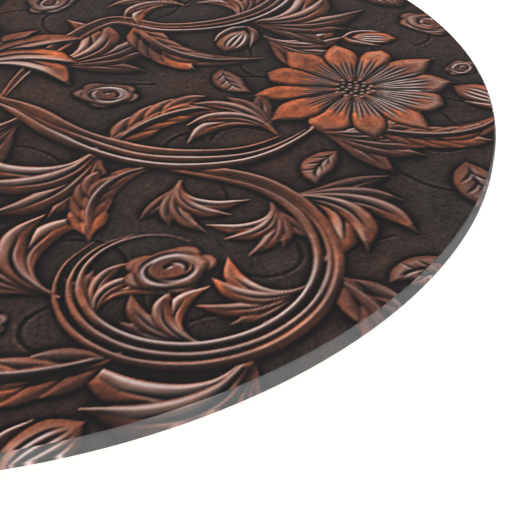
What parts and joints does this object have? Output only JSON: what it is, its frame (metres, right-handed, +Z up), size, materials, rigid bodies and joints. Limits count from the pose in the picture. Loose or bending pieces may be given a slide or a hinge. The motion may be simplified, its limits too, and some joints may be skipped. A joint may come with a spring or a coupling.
{
  "type": "round glass cutting board",
  "caption": "Round toughened-glass cutting and serving board over an embossed leather-look floral picture sheet, with a protective film behind it, on small rubber feet.",
  "frame": {"origin": "on the worktop, under the board's centre", "axes": "+Z up through the board's centre; the pictured edge is at the front right, between -Y and +X"},
  "size_m": [0.3048, 0.3048, 0.0081],
  "materials": {
    "clear_glass": "polished faces, ground and slightly milky edge",
    "leather_look": "embossed and antiqued, dark brown ground with chestnut relief",
    "white_film": "fine matt orange-peel",
    "foot_tape": "matt foam tape",
    "foot_rubber": "satin translucent grey elastomer"
  },
  "bodies": {
    "root": {"glass_plate": "clear_glass", "picture_sheet": "leather_look", "backing_film": "white_film", "foot_tape_back_right": "foot_tape", "foot_tape_back_left": "foot_tape", "foot_tape_front_left": "foot_tape", "foot_tape_front_right": "foot_tape", "rubber_foot_back_right": "foot_rubber", "rubber_foot_back_left": "foot_rubber", "rubber_foot_front_left": "foot_rubber", "rubber_foot_front_right": "foot_rubber"}
  },
  "joints": []
}
